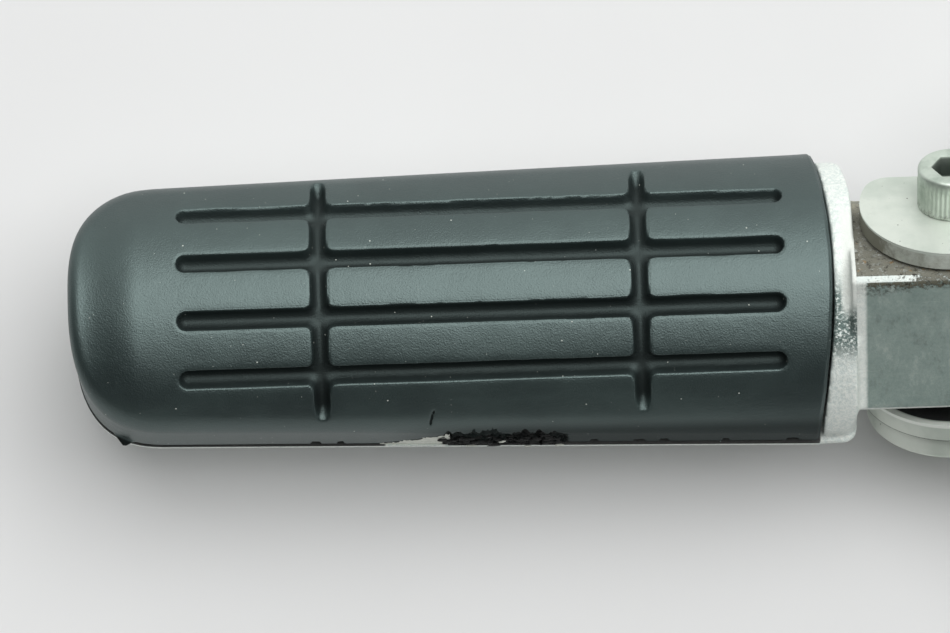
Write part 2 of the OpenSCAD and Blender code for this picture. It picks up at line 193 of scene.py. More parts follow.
class Look:
    # A node material for one finish, with a shader and an output
    def __init__(self, name):
        self.material = bpy.data.materials.new(name)
        self.material.use_nodes = True
        self.tree = self.material.node_tree
        self.tree.nodes.clear()
        self.shader = self.tree.nodes.new("ShaderNodeBsdfPrincipled")
        output = self.tree.nodes.new("ShaderNodeOutputMaterial")
        self.tree.links.new(self.shader.outputs[0], output.inputs[0])

    def feed(self, socket, value):
        if isinstance(value, Wire):
            self.tree.links.new(value.socket, socket)
        elif isinstance(value, (tuple, list)) and socket.type == "RGBA" and len(value) == 3:
            socket.default_value = (*value, 1.0)
        else:
            socket.default_value = value

    def add(self, kind, settings=None, inputs=None, output=0):
        node = self.tree.nodes.new(kind)
        for name, value in (settings or {}).items():
            if name == "stops":
                for element, (place, colour) in zip(self.rampStops(node, len(value)), value):
                    element.position = place
                    element.color = (*colour, 1.0)
            else:
                setattr(node, name, value)
        for name, value in (inputs or {}).items():
            self.feed(node.inputs[name], value)
        return Wire(self, node.outputs[output])

    def rampStops(self, node, count):
        while len(node.color_ramp.elements) < count:
            node.color_ramp.elements.new(1.0)
        return node.color_ramp.elements

    # Object coordinates in millimetres, so that a finish stays on its piece when it moves
    def place(self, stretch=(1.0, 1.0, 1.0)):
        coordinates = self.add("ShaderNodeTexCoord", output="Object")
        scale = tuple(factor / mm for factor in stretch)
        return self.add("ShaderNodeVectorMath", {"operation": "MULTIPLY"}, {0: coordinates, 1: scale})

    # Distances from the hinge: along the peg, towards the back, up the pivot axis, and out from the axis
    def fromHinge(self):
        offset = self.add("ShaderNodeVectorMath", {"operation": "SUBTRACT"}, {0: self.place(), 1: tuple(pivot)})
        along, back, up = (self.add("ShaderNodeVectorMath", {"operation": "DOT_PRODUCT"}, {0: offset, 1: tuple(way)}, "Value")
                           for way in (forward, backward, pivotAxis))
        out = (along * along + back * back).maths("SQRT")
        return along, back, up, out

    def noise(self, size, detail=3.0, rough=0.55, stretch=(1.0, 1.0, 1.0), warp=0.0):
        inputs = {"Vector": self.place(stretch), "Scale": 1.0 / size, "Detail": detail,
                  "Roughness": rough, "Distortion": warp}
        return self.add("ShaderNodeTexNoise", None, inputs)

    # Small round spots of a given spacing, 1 inside a spot, and only a share of them kept
    def specks(self, spacing, radius, share):
        inputs = {"Vector": self.place(), "Scale": 1.0 / spacing}
        node = self.add("ShaderNodeTexVoronoi", None, inputs)
        distance = Wire(self, node.socket.node.outputs["Distance"])
        colour = Wire(self, node.socket.node.outputs["Color"])
        chance = self.add("ShaderNodeSeparateColor", None, {0: colour})
        kept = chance.rise(1.0 - share, 1.0 - share + 0.01)
        near = 1.0 - distance.rise(radius / spacing * 0.6, radius / spacing)
        return kept * near

    def value(self, name):
        return self.add("ShaderNodeAttribute", {"attribute_name": name}, None, "Fac")

    def mix(self, factor, low, high):
        inputs = {"Factor": factor, "A": low, "B": high}
        node = self.tree.nodes.new("ShaderNodeMix")
        node.data_type = "RGBA"
        for name, value in inputs.items():
            found = [s for s in node.inputs if s.name == name and s.type == ("VALUE" if name == "Factor" else "RGBA")]
            self.feed(found[0], value)
        return Wire(self, [s for s in node.outputs if s.type == "RGBA"][0])

    def bump(self, height, distance, strength=1.0, normal=None):
        inputs = {"Height": height, "Distance": distance * mm, "Strength": strength}
        if normal is not None:
            inputs["Normal"] = normal
        return self.add("ShaderNodeBump", None, inputs)

    # Mixes a dull shader over the main one where the factor is high
    def matte(self, factor, colour, normal):
        dull = self.tree.nodes.new("ShaderNodeBsdfPrincipled")
        for name, value in (("Base Color", colour), ("Roughness", 0.85), ("Specular IOR Level", 0.15), ("Normal", normal)):
            self.feed(dull.inputs[name], value)
        both = self.tree.nodes.new("ShaderNodeMixShader")
        self.feed(both.inputs[0], factor)
        output = [node for node in self.tree.nodes if node.type == "OUTPUT_MATERIAL"][0]
        self.tree.links.new(self.shader.outputs[0], both.inputs[1])
        self.tree.links.new(dull.outputs[0], both.inputs[2])
        self.tree.links.new(both.outputs[0], output.inputs[0])

    def set(self, **sockets):
        for name, value in sockets.items():
            self.feed(self.shader.inputs[name.replace("_", " ")], value)
        return self


# A colour given as it reads on a screen, 0 to 255
def tint(red, green, blue):
    def linear(level):
        share = level / 255.0
        return share / 12.92 if share <= 0.04045 else ((share + 0.055) / 1.055) ** 2.4
    return tuple(linear(level) for level in (red, green, blue))


rubberFinish = {
    "clean": tint(20, 27, 28),
    "dusty": tint(40, 50, 49),
    # painted shade colour for the groove floors and the low front wall
    "deep": tint(10, 13, 13),
    "torn": tint(20, 22, 21),
    "dust": tint(205, 208, 200),
    # Painted shade on the low front wall towards the collar: the height where it ends, and where it starts along the
    # peg
    "lowWallShadeTo": (2.0, 5.2),     # height on the wall, and along the peg where it starts
    "lowWallShadeFrom": (-86.0, -64.0),
}


def rubberLook():
    look = Look("agedPadRubber")
    cloudy = look.noise(16.0, 4.0, 0.6)
    grain = look.noise(0.24, 2.0, 0.6)
    scuffs = look.noise(5.0, 5.0, 0.7, (0.25, 1.0, 1.0))
    groove = look.value("groove")
    torn = look.value("torn")
    colour = look.mix(cloudy.rise(0.35, 0.7) * 0.6, rubberFinish["clean"], rubberFinish["dusty"])
    colour = look.mix(scuffs.rise(0.55, 0.75) * 0.35, colour, rubberFinish["dusty"])
    # Painted shade: the groove floors are darkened by the groove depth mask
    colour = look.mix(groove, colour, rubberFinish["deep"])
    colour = look.mix(torn.rise(0.1, 0.6), colour, rubberFinish["torn"])
    dust = look.specks(1.7, 0.13, 0.25).larger(look.specks(0.9, 0.07, 0.14) * 0.8)
    colour = look.mix(dust * 0.8, colour, rubberFinish["dust"])
    rough = 0.37 + cloudy * 0.08 + scuffs.rise(0.5, 0.8) * 0.06 + torn.rise(0.1, 0.6) * 0.4 + groove * 0.16
    fine = look.bump(grain, 0.07, 0.8)
    soft = look.bump(look.noise(2.6, 2.0, 0.5), 0.1, 0.5, fine)
    along, back, up, out = look.fromHinge()
    level = back * float(backward[2]) + up * float(pivotAxis[2])
    # Painted shade darkens and dulls the low front wall towards the collar
    frontSide = 1.0 - (back * float(backward[1]) + up * float(pivotAxis[1])).rise(-16.0, -12.0)
    lowWallShade = (1.0 - level.rise(*rubberFinish["lowWallShadeTo"])) * along.rise(*rubberFinish["lowWallShadeFrom"]) * frontSide
    colour = look.mix(lowWallShade * 0.5, colour, rubberFinish["deep"])
    colour = look.mix(torn.rise(0.1, 0.6) * cloudy.rise(0.45, 0.6) * 0.5, colour, rubberFinish["dusty"])
    look.set(Base_Color=colour, Roughness=rough + dust * 0.3 + lowWallShade * 0.3, Normal=soft)
    look.set(Specular_IOR_Level=0.86, Specular_Tint=(0.78, 1.0, 0.97), IOR=1.64)
    look.matte((lowWallShade * 0.55).larger(torn.rise(0.1, 0.6)).larger(groove * 0.5), colour, soft)
    return look.material


castFinish = {
    "bright": tint(238, 242, 236),
    "blue": tint(208, 218, 214),
    "dark": tint(128, 142, 138),
    "face": tint(114, 136, 129),
    "crust": tint(58, 62, 54),
    "grain": tint(104, 120, 116),
    "scratchAndHighlight": tint(226, 230, 224),
    "dirt": tint(98, 95, 80),
    "black": tint(44, 42, 34),
    # gap: painted shade colour
    "gap": tint(14, 14, 13),
    "ochre": tint(150, 116, 66),
    "pale": tint(192, 188, 172),
}
tongueMarks = {
    "top": 11.65,               # up the axis: the face under the upper ear
    "rim": 10.95,               # chamfers run out here
    "foot": 11.0,               # the lower edge of the front face, which gets a painted highlight
    "front": -13.1,             # towards the back: the front chamfer starts here
    "root": (-14.4, -13.0),     # along the peg: the fillet at the collar, which gets a painted highlight
    "grainFrom": (-13.5, -9.5), # across the peg: where the cast grain shows dark on the collar
    "grainTo": (-4.0, 1.0),
    "paintedEdgeLight": (-16.8, -15.9), # along the peg: the edge of the collar beside the tongue, where a painted highlight goes
    "tearFrom": (-83.6, -83.2), # along the peg: where the lip of the pad is gone
    "tearTo": (-74.4, -74.0),
    "rimTop": (-5.12, -5.04),    # height of the top of the rim under the pad, which gets painted shade
    "rimEnd": (-20.0, -19.8),
}


def castLook():
    look = Look("scuffedCastAlloy")
    along, back, up, out = look.fromHinge()
    marks = tongueMarks
    onTongue = along.rise(marks["root"][0] - 0.1, marks["root"][0])
    onTop = up.rise(marks["top"] - 0.1, marks["top"]) * onTongue
    onRim = up.rise(marks["rim"] - 0.1, marks["rim"]) * (1.0 - back.rise(marks["front"] - 0.1, marks["front"])) * onTongue
    onFoot = (1.0 - up.rise(-marks["foot"], 0.1 - marks["foot"])) * onTongue
    onRoot = onTongue * (1.0 - along.rise(marks["root"][1] - 0.5, marks["root"][1] + 0.2))
    onFace = onTongue * (1.0 - onTop.larger(onRim).larger(onFoot).larger(onRoot))
    cloudy = look.noise(7.0, 4.0, 0.6)
    mottle = look.noise(0.5, 4.0, 0.75)
    scratches = look.noise(0.5, 4.0, 0.6, (0.08, 1.0, 1.0))
    streaks = look.noise(2.6, 6.0, 0.72, (1.0, 0.6, 0.6))
    crumbs = look.noise(0.8, 5.0, 0.8)
    colour = look.mix(mottle.rise(0.34, 0.66), castFinish["blue"], castFinish["bright"])
    colour = look.mix(cloudy.rise(0.5, 0.75) * onTongue * 0.35, colour, castFinish["dark"])
    colour = look.mix(onFace * 0.8, colour, castFinish["face"])
    lines = scratches.rise(0.6, 0.72) * onFace
    colour = look.mix(lines * 0.1, colour, castFinish["scratchAndHighlight"])
    colour = look.mix(streaks.rise(0.48, 0.75) * onFace * 0.25, colour, castFinish["scratchAndHighlight"])
    colour = look.mix((1.0 - streaks.rise(0.3, 0.46)) * onFace * 0.3, colour, castFinish["crust"])
    # Painted highlight on the tongue's fillet, foot edge and top chamfer
    bright = onRoot.larger(onFoot).larger(onRim)
    colour = look.mix(bright * (0.25 + mottle * 0.5), colour, castFinish["scratchAndHighlight"])
    colour = look.mix(onRim * (0.3 + streaks.rise(0.4, 0.6) * 0.5), colour, castFinish["blue"])
    across = back * float(backward[1]) + up * float(pivotAxis[1])
    # Painted highlight on the collar's edge beside the tongue
    paintedEdgeLight = along.rise(*marks["paintedEdgeLight"]) * (1.0 - onTongue) * across.rise(-7.0, -4.0) * (1.0 - across.rise(9.0, 11.0))
    grainy = across.rise(*marks["grainFrom"]) * (1.0 - across.rise(*marks["grainTo"])) * (1.0 - onTongue) * (1.0 - paintedEdgeLight)
    colour = look.mix(grainy * look.noise(0.45, 3.0, 0.7).rise(0.36, 0.52), colour, castFinish["grain"])
    colour = look.mix(paintedEdgeLight * 0.9, colour, castFinish["scratchAndHighlight"])
    below = (1.0 - onRim) * (1.0 - onTop) * (1.0 - onRoot * 0.7)
    edgeDirt = onTongue * up.rise(8.2, 10.8) * below + onRim * (0.55 + along.rise(-9.0, -3.5) * 0.45)
    nearRoot = 1.0 - along.rise(-12.5, -6.0)
    crust = onTongue * (up + nearRoot * 1.3).rise(9.3, 10.4) * below
    colour = look.mix(crust * crumbs.rise(0.42, 0.58) * 0.6, colour, castFinish["crust"])
    caked = (onTop * 0.45 + crumbs - 0.72).rise(0.0, 0.2).larger((edgeDirt * 0.5 + crumbs - 0.86).rise(0.0, 0.12))
    colour = look.mix(caked * 0.9, colour, castFinish["dirt"])
    colour = look.mix((onTop + edgeDirt) * look.noise(1.1, 5.0, 0.8).rise(0.54, 0.62) * 0.85, colour, castFinish["black"])
    ochre = onTop * look.noise(1.7, 3.0).rise(0.62, 0.7)
    colour = look.mix(ochre * 0.55, colour, castFinish["ochre"])
    pale = onTop * (1.0 - along.rise(-12.6, -10.8)) * back.rise(1.0, 5.0)
    colour = look.mix(pale * crumbs.rise(0.3, 0.6) * 0.8, colour, castFinish["pale"])
    level = back * float(backward[2]) + up * float(pivotAxis[2])
    # Painted shade on the top of the rim under the pad, except where the pad is torn away
    tear = along.rise(*marks["tearFrom"]) * (1.0 - along.rise(*marks["tearTo"]))
    rimTop = level.rise(*marks["rimTop"]) * (1.0 - along.rise(*marks["rimEnd"])) * (1.0 - tear)
    colour = look.mix(rimTop * 0.95, colour, castFinish["gap"])
    pits = look.specks(1.9, 0.14, 0.3)
    colour = look.mix(pits * 0.7, colour, castFinish["dark"])
    metal = 0.2 + grainy * 0.4 + onFace * 0.25 - caked.larger(paintedEdgeLight) * 0.2
    rough = 0.36 + mottle * 0.14 + caked * 0.35 + onFace * 0.22
    height = mottle * (2.0 - onFace) - scratches * onFace * 0.4 + caked * crumbs * 3.0
    look.set(Base_Color=colour, Metallic=metal, Roughness=rough, Normal=look.bump(height, 0.08, 0.9))
    return look.material


bracketFinish = {
    "bright": tint(214, 220, 211),
    "dull": tint(192, 201, 191),
    "stain": tint(96, 92, 74),
    "speck": tint(70, 66, 56),
    # near black: painted shade in the gap under the tongue, and the dark seam
    "gapShadeAndSeam": tint(16, 18, 18),
    # painted highlight colour for the lower ear's rim
    "rim": tint(240, 244, 238),
}


def bracketLook():
    look = Look("stainedBracketAlloy")
    along, back, up, out = look.fromHinge()
    cloudy = look.noise(9.0, 4.0, 0.6)
    grain = look.noise(0.4, 3.0, 0.7)
    colour = look.mix(cloudy.rise(0.35, 0.7), bracketFinish["bright"], bracketFinish["dull"])
    edge = out.rise(13.0, 13.3) * (1.0 - along.rise(2.0, 8.0)) * up.rise(11.2, 11.8) * (1.0 - up.rise(14.6, 14.9))
    tip = (1.0 - along.rise(-11.6, -8.5)) * up.rise(11.0, 12.0)
    stain = ((edge * 0.5 + tip * 0.35) * (0.3 + look.noise(1.7, 5.0, 0.7)) * 1.3).rise(0.34, 0.8)
    colour = look.mix(stain * 0.85, colour, bracketFinish["stain"])
    specks = look.specks(1.4, 0.15, 0.22).larger(look.specks(0.8, 0.08, 0.16))
    colour = look.mix(specks * 0.8, colour, bracketFinish["speck"])
    onEar = 1.0 - out.rise(13.7, 14.0)
    # Painted shade on the lower ear's top face under the tongue, and a dark seam line lower down
    lowerFace = up.rise(-15.15, -15.0) * (1.0 - up.rise(-14.8, -14.6)) * onEar
    gapShade = lowerFace * (1.0 - out.rise(12.1, 12.4))
    seam = up.rise(-17.85, -17.7) * (1.0 - up.rise(-17.55, -17.4)) * (0.4 + grain) * onEar
    colour = look.mix(gapShade.larger(seam * 0.7), colour, bracketFinish["gapShadeAndSeam"])
    # Painted highlight on the rim of the lower ear
    rim = up.rise(-15.5, -15.3) * (1.0 - up.rise(-14.8, -14.6)) * out.rise(12.4, 12.7) * onEar
    colour = look.mix(rim * 0.8, colour, bracketFinish["rim"])
    rough = 0.42 + grain * 0.14 + stain * 0.3 + gapShade * 0.2
    look.set(Base_Color=colour, Metallic=0.5 - stain.larger(gapShade) * 0.45, Roughness=rough,
             Normal=look.bump(grain + specks * -1.4, 0.03, 0.6))
    return look.material


steelFinish = {
    "bright": tint(200, 210, 199),
    "dull": tint(166, 179, 167),
    # socket: painted shade colour for the inside of the hex socket
    "socket": tint(60, 70, 64),
    "dirt": tint(78, 74, 58),
}


def steelLook(name="dulledPlating", shadeAttribute=None):
    look = Look(name)
    cloudy = look.noise(3.5, 4.0, 0.6)
    grain = look.noise(0.3, 3.0, 0.7)
    colour = look.mix(cloudy.rise(0.35, 0.7), steelFinish["bright"], steelFinish["dull"])
    rough = 0.34 + grain * 0.16
    metal = 0.7
    if shadeAttribute:
        # Painted shade inside the hex socket, darker with depth
        deep = look.value(shadeAttribute)
        colour = look.mix(deep.rise(0.1, 0.9) * 0.85, colour, steelFinish["socket"])
        grime = (look.value("grime") * 0.55 + look.noise(0.9, 4.0, 0.7) * 0.7).rise(0.85, 1.1)
        colour = look.mix(grime * 0.8, colour, steelFinish["dirt"])
        rough = rough + grime * 0.3
    specks = look.specks(1.5, 0.1, 0.3)
    colour = look.mix(specks * 0.7, colour, steelFinish["dirt"])
    look.set(Base_Color=colour, Metallic=metal, Roughness=rough, Normal=look.bump(grain, 0.02, 0.6))
    return look.material


def plasticLook():
    look = Look("blackWasherPlastic")
    grain = look.noise(0.5, 3.0, 0.7)
    colour = look.mix(grain.rise(0.3, 0.7), tint(22, 24, 24), tint(44, 46, 44))
    look.set(Base_Color=colour, Roughness=0.5 + grain * 0.2, Normal=look.bump(grain, 0.03, 0.5))
    return look.material


# ---- the rubber pad ----
padShape = {
    "crownRise": 12.6,          # of the tread over its edges at the collar
    "halfWidth": 19.7,          # halfway along
    "taper": 1.5,               # degrees each side spreads
    "endBow": 2.3,              # by which the end curves back to the sides
    "shoulder": 1.8,
    "backTuck": 0.6,            # by which the back edge leans in at the nose end
    "frontTuck": 0.25,          # by which the front edge leans in at the collar
    "footTuck": 0.05,            # by which the walls lean in over their lowest part
    "abovePlate": 1.2,          # from the underside of the core to the foot of the pad
    "noseLength": 14.0,
    "noseFullness": 2.75,
    "noseDrop": 1.7,
    "noseSlope": (1.8, 8.4),    # from the nose: where the tread starts to rise, and its run
    "gapToCollar": 0.12,
    "bowRun": 6.4,              # length over which the stations take up the bow
    "lipRadius": 0.5,
    "lipInset": 0.1,           # of the foot of the wall, which shows the rim of the core
    "grooveWidth": 2.9,
    "grooveDepth": 2.2,
    "groovePitch": 20.8,        # degrees round the crown
    "grooveStart": 15.9,        # from the nose
    "grooveLength": 88.0,
    "crossWidth": 2.4,
    "crossAt": (36.5, 82.9),
    "crossReach": 48.5,
    "crossFade": 3.2,           # length over which the cross grooves run out
    "edgeRound": 0.14,
    "cornerRound": 1.3,
    "spineHalf": 13.5,
    "spineTop": 10.5,
    "spineStart": 12.9,
}
padTears = {
    "open": (44.6, 54.3),       # from the nose: lip gone, and the flank of the core shows
    "openRise": (0.2, 5.3),     # height of the bare flank at either end
    "ragged": (53.6, 71.0),     # torn and crumbling
    "flap": (60.0, 62.6),
    "nicks": ((35.0, 1.3), (38.6, 0.9), (75.6, 1.0), (82.2, 1.6), (85.8, 1.2), (94.8, 0.9), (104.6, 1.8)),
    "lip": (5.2, 8.6),          # black tip that lifts at the nose
}
baseZ = footZ - padShape["abovePlate"]
midX = (noseX + padEndX) / 2
endHalf = padShape["halfWidth"] + (padEndX - noseX) / 2 * math.tan(math.radians(padShape["taper"]))


# Radius of the circle through a middle that stands out by rise and two ends that are half away
def bowRadius(half, rise):
    return (half ** 2 + rise ** 2) / (2 * rise)


crownRadius = bowRadius(endHalf, padShape["crownRise"])
crownZ = padHigh[2] - crownRadius


def sideHalf(x):
    return padShape["halfWidth"] + (x - midX) * math.tan(math.radians(padShape["taper"]))


def padHalf(x):
    share = np.clip((x - noseX) / padShape["noseLength"], 0.0, 1.0)
    full = padShape["noseFullness"]
    return sideHalf(x) * (1.0 - (1.0 - share) ** full) ** (1.0 / full)


def treadDrop(x):
    start, run = padShape["noseSlope"]
    return padShape["noseDrop"] * (1.0 - ease((x - noseX - start) / run))


# Distance inside the pad's outline in plan
def insideBy(x, y):
    outlineX = noseX + padShape["noseLength"] * (1.0 - np.cos(np.linspace(0.0, math.pi / 2, 90)))
    outlineY = padHalf(outlineX)
    shape = x.shape
    nearNose = (x < noseX + padShape["noseLength"] + 6.0).ravel()
    result = ((padHalf(x) - np.abs(y)) * math.cos(math.radians(padShape["taper"]))).ravel()
    px, py = x.ravel()[nearNose], np.abs(y).ravel()[nearNose]
    ax, ay, bx, by = outlineX[:-1], outlineY[:-1], outlineX[1:], outlineY[1:]
    dx, dy = bx - ax, by - ay
    along = np.clip(((px[:, None] - ax) * dx + (py[:, None] - ay) * dy) / (dx * dx + dy * dy), 0, 1)
    gap = np.hypot(px[:, None] - ax - along * dx, py[:, None] - ay - along * dy).min(1)
    result[nearNose] = np.minimum(np.maximum(result[nearNose], 0.0), gap)
    return result.reshape(shape)


def shoulderFall(inside):
    r = padShape["shoulder"]
    held = np.clip(inside, 0.0, r)
    return r - np.sqrt(np.maximum(0.0, r * r - (r - held) ** 2))


# Smallest of several distances, with round inner corners
def roundUnion(first, second, size):
    blend = np.clip(size - np.abs(first - second), 0.0, None) / size
    return np.minimum(first, second) - blend * blend * size * 0.25


# Distance outside the nearest groove, negative inside it
def grooveDistance(x, angle, radius):
    s = padShape
    half = s["grooveWidth"] / 2
    longStart = noseX + s["grooveStart"] + half
    longEnd = noseX + s["grooveStart"] + s["grooveLength"] - half
    total = None
    for step in (-1.5, -0.5, 0.5, 1.5):
        across = radius * np.sin(angle - math.radians(step * s["groovePitch"]))
        past = np.maximum(np.maximum(longStart - x, x - longEnd), 0.0)
        distance = np.hypot(past, across) - half
        total = distance if total is None else np.minimum(total, distance)
    for at in s["crossAt"]:
        past = np.maximum(radius * (np.abs(angle) - math.radians(s["crossReach"])) + s["crossWidth"] / 2, 0.0)
        toEnd = 1.0 - radius * (math.radians(s["crossReach"]) - np.abs(angle)) / s["crossFade"]
        distance = np.hypot(x - noseX - at, past) - s["crossWidth"] / 2 + 0.4 * np.clip(toEnd, 0.0, 1.0) ** 2
        total = roundUnion(total, distance, s["cornerRound"])
    return total


def buildPad():
    s, tears = padShape, padTears
    grooveAngles = [math.radians(step * s["groovePitch"]) for step in (-1.5, -0.5, 0.5, 1.5)]
    half = s["grooveWidth"] / 2
    across = [crownRadius * math.sin(a) for a in grooveAngles]
    flankHalf = padHalf(np.array([noseX + s["grooveStart"]]))[0] - s["shoulder"]
    zones = []
    for a, y in zip(grooveAngles, across):
        reach = half * math.cos(a) + 0.35
        zones += [(y - reach, y - reach + 1.0, 0.11), (y + reach - 1.0, y + reach, 0.11), (y - reach, y + reach, 0.26)]
    tread = packedLines(-14.6, 14.6, 0.75, zones)
    edge = np.linspace(0.0, 1.0, 19)[1:]
    longEnds = [noseX + s["grooveStart"], noseX + s["grooveStart"] + s["grooveLength"]]
    zonesX = [(longEnds[0] - 0.5, longEnds[0] + 1.9, 0.14), (longEnds[1] - 1.9, longEnds[1] + 0.5, 0.14)]
    for at in s["crossAt"]:
        for edgeX in (noseX + at - s["crossWidth"] / 2, noseX + at + s["crossWidth"] / 2):
            zonesX.append((edgeX - 0.75, edgeX + 0.75, 0.13))
    zonesX.append((noseX + tears["open"][0] - 1.5, noseX + tears["ragged"][1] + 1.5, 0.24))
    zonesX.append((noseX + tears["nicks"][0][0] - 1.5, noseX + tears["nicks"][1][0] + 1.5, 0.3))
    for at, width in tears["nicks"][2:]:
        zonesX.append((noseX + at - width, noseX + at + width, 0.3))
    zonesX.append((padEndX - 1.4, padEndX, 0.22))
    nose = noseX + 0.03 + (s["noseLength"] + 1.0) * (1.0 - np.cos(np.linspace(0.0, math.pi / 2, 44)))
    rest = packedLines(noseX + s["noseLength"] + 1.03, padEndX - s["gapToCollar"], 1.3, zonesX)
    xs = np.concatenate([nose, rest[1:]])
    spineX = noseX + s["spineStart"]
    xs = np.sort(np.concatenate([xs, [spineX - 0.005, spineX + 0.005]]))
    halfAt = padHalf(xs)
    squeeze = np.minimum(1.0, halfAt / padHalf(np.array([noseX + s["grooveStart"] - 0.4]))[0])
    inner = tread[None, :] * squeeze[:, None]
    reachOut = (halfAt - 14.6 * squeeze)[:, None] * np.sin(edge * math.pi / 2)[None, :]
    right = inner[:, -1:] + reachOut
    left = inner[:, :1] - reachOut
    y = np.concatenate([left[:, ::-1], inner, right], axis=1)
    x = np.repeat(xs[:, None], y.shape[1], axis=1)
    inside = insideBy(x, y)
    z = crownZ + np.sqrt(crownRadius ** 2 - y * y) - treadDrop(x) - shoulderFall(inside)
    wallTop = z[:, 0]
    down = np.linspace(0.0, 1.0, 40)[1:]
    lip = s["lipRadius"]
    wallZ = wallTop[:, None] + (footZ + lip - wallTop)[:, None] * down[None, :]
    turn = np.linspace(0.0, math.pi / 2, 5)[1:]
    lipIn = lip * (1.0 - np.cos(turn)) + s["lipInset"] * turn / turn[-1]
    lipZ = footZ + lip * (1.0 - np.sin(turn))
    lipScale = np.minimum(1.0, halfAt / 4.0)

    def flank(sign):
        wallY = np.repeat(halfAt[:, None], down.size, axis=1)
        roundY = halfAt[:, None] - lipIn[None, :] * lipScale[:, None]
        roundZ = np.repeat(lipZ[None, :], xs.size, axis=0)
        return sign * np.concatenate([wallY, roundY], 1), np.concatenate([wallZ, roundZ], 1)

    lowY, lowZ = flank(-1.0)
    highY, highZ = flank(1.0)
    outerY = np.concatenate([lowY[:, ::-1], y, highY], axis=1)
    outerZ = np.concatenate([lowZ[:, ::-1], z, highZ], axis=1)
    outerX = np.repeat(xs[:, None], outerY.shape[1], axis=1)
    outer = np.stack([outerX, outerY, outerZ], axis=-1)

    # Grooves sink towards the middle of the crown
    angle = np.arctan2(outerY, outerZ - crownZ)
    radius = np.hypot(outerY, outerZ - crownZ)
    wobble = ripple(outer, 3.2, 1.0) * 0.06 + ripple(outer, 0.9, 2.0) * 0.03
    distance = grooveDistance(outerX, angle, radius) + wobble
    across = np.clip(-distance / half, 0.0, 1.0)
    sunk = ease(across / 0.3) * 0.25 + (1.0 - (1.0 - across) ** 2.0) ** 0.62 * 0.75
    lipSunk = np.clip(1.0 - np.abs(distance - s["edgeRound"]) / (2 * s["edgeRound"]), 0.0, 1.0) * 0.05
    depth = sunk * np.maximum(0.0, radius - (crownRadius - s["grooveDepth"])) + lipSunk * (distance > 0)
    swell = ripple(outer, 14.0, 3.0) * 0.09 + ripple(outer, 5.0, 4.0) * 0.035
    nearEnd = ease((insideBy(outerX, outerY) - 0.4) / 3.0) * (outerZ > footZ + 3.0)
    shift = -depth + swell * nearEnd
    outer[..., 1] += shift * np.sin(angle)
    outer[..., 2] += shift * np.cos(angle)

    # The two long edges spread a little less evenly than the core
    toNose = np.clip((padEndX - outerX) / (padEndX - noseX), 0.0, 1.0)
    outer[..., 1] -= s["backTuck"] * toNose * ease(outerY / 19.0)
    outer[..., 1] += s["frontTuck"] * (1.0 - toNose) * ease(-outerY / 19.0)
    outer[..., 1] -= np.sign(outerY) * s["footTuck"] * (1.0 - ease((outerZ - footZ) / 3.5)) * (np.abs(outerY) > 12.0)

    # Damage along the lower front edge
    torn = np.zeros(outerX.shape)
    fromNose = outerX - noseX
    front = (outerY < 0) & (np.abs(outerY) > 12.0)
    height = outerZ - footZ
    jag = ripple(outer * [1, 0, 0] + [0, 3, 9], 1.1, 5.0) * 0.55 + ripple(outer * [1, 0, 0] + [0, 3, 9], 0.45, 6.0) * 0.35
    openStart, openEnd = tears["open"]
    openTear = ease((fromNose - openStart) / 0.3) * (1.0 - ease((fromNose - openEnd) / 0.3))
    share = np.clip((fromNose - openStart) / (openEnd - openStart), 0.0, 1.0)
    openTop = tears["openRise"][0] + (tears["openRise"][1] - tears["openRise"][0]) * share ** 1.2 + jag * (0.3 + share)
    pulled = openTear * (1.0 - ease((height - openTop) / 0.25)) * front
    outer[..., 1] += pulled * 1.7
    ragged = ease((fromNose - tears["ragged"][0]) / 1.0) * (1.0 - ease((fromNose - tears["ragged"][1]) / 1.2))
    rough = ragged * (1.0 - ease((height - 5.6 - jag * 3.0) / 2.2)) * front
    chew = ripple(outer, 0.8, 7.0) * 0.75 + ripple(outer, 0.38, 8.0) * 0.5
    outer[..., 1] += rough * (0.4 + chew * 1.3) * (0.65 + 0.35 * (1.0 - ease((height - 2.0) / 3.0)))
    outer[..., 2] += rough * ripple(outer, 0.7, 9.0) * 0.5 * (height > 0.3)
    bitten = np.clip(1.0 - np.abs(height - openTop) / 1.1, 0.0, 1.0) * openTear * front
    torn += bitten + rough * 1.4
    outer[..., 1] += bitten * ripple(outer, 0.5, 12.0) * 0.35
    for at, width in tears["nicks"]:
        nick = np.clip(1.0 - np.abs(fromNose - at) / (width * 0.6), 0.0, 1.0) * (1.0 - ease((height - 1.6 - jag) / 0.5)) * front
        outer[..., 1] += nick * 0.9
        torn += nick
    cutRun = np.clip((outerY + 18.1) / 0.9, -1.0, 1.0)
    cutAcross = fromNose - 52.2 - cutRun * 0.35
    drag = np.exp(-(cutAcross / 0.14) ** 2) * (np.abs(outerY + 18.1) < 0.75)
    outer[..., 2] -= drag * 0.6
    torn += drag * 1.3

    # The lip lifts a little at the nose corner, and the end by the collar is wavy
    tip = np.clip(1.0 - np.abs(fromNose - 6.9) / 1.5, 0.0, 1.0) * (1.0 - ease((height - 0.9) / 0.5)) * (outerY < 0) * (height < 3.0)
    outer[..., 1] -= tip * 1.3
    torn += tip * 1.5
    endNear = ease((fromNose - (padEndX - noseX) + 1.1) / 0.9)
    outer[..., 0] += endNear * (ripple(outer * [0, 1, 1], 4.0, 10.0) * 0.14 - 0.1)
    bow = bowRadius(endHalf, s["endBow"])
    take = ease((fromNose - (padEndX - noseX) + s["bowRun"]) / s["bowRun"])
    outer[..., 0] -= take * (bow - np.sqrt(bow ** 2 - outer[..., 1] ** 2))
    roundEnd = ease((fromNose - (padEndX - noseX) + 0.75) / 0.6) * 0.3
    outer[..., 1] -= roundEnd * np.sin(angle)
    outer[..., 2] -= roundEnd * np.cos(angle) * (height > 1.0)

